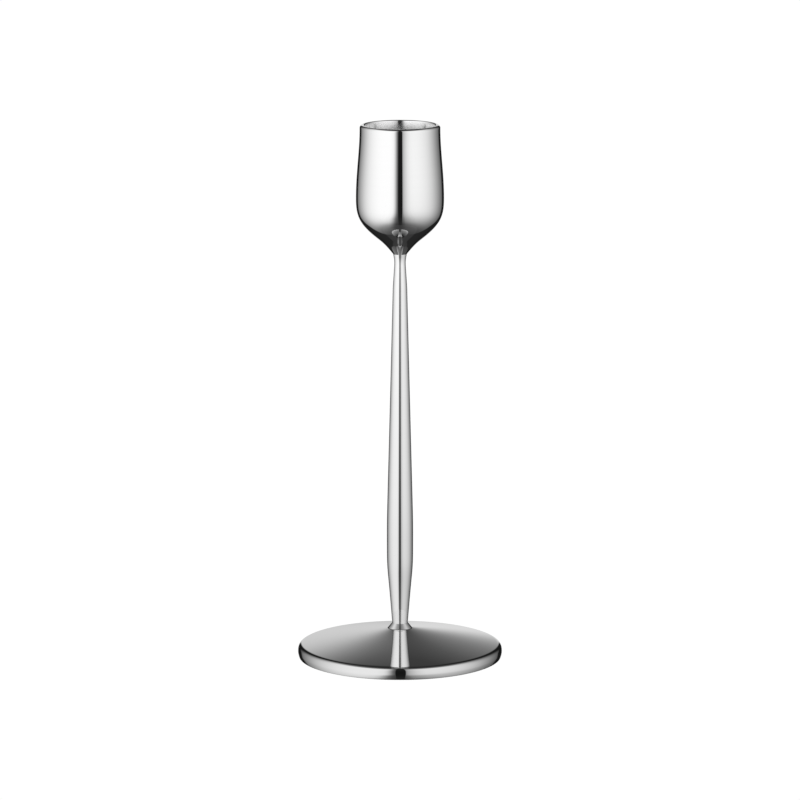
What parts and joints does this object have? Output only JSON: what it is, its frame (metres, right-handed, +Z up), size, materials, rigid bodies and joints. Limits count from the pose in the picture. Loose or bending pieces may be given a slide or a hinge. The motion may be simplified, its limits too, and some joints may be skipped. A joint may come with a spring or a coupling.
{
  "type": "candlestick",
  "caption": "Tall polished candlestick with a tulip socket cup for a taper candle, a slender tapering stem and a weighted disc foot with a felt base.",
  "frame": {"origin": "centre of the felt disc's underside, on the surface that the candlestick stands on", "axes": "+Z up along the candlestick's axis, from the foot to the candle socket; X and Y are equivalent on this turned object"},
  "size_m": [0.067, 0.067, 0.176],
  "materials": {
    "polished_metal": "mirror polished",
    "cast_weight": "as cast",
    "fastener_steel": "zinc plated",
    "plate_steel": "blackened sheet",
    "felt": "pressed wool felt"
  },
  "bodies": {
    "root": {"candle_cup": "polished_metal", "stem": "polished_metal", "foot": "polished_metal", "ballast": "cast_weight", "flat_washer": "fastener_steel", "spring_washer": "fastener_steel", "lock_nut": "fastener_steel", "closing_plate": "plate_steel", "base_felt": "felt"}
  },
  "joints": []
}
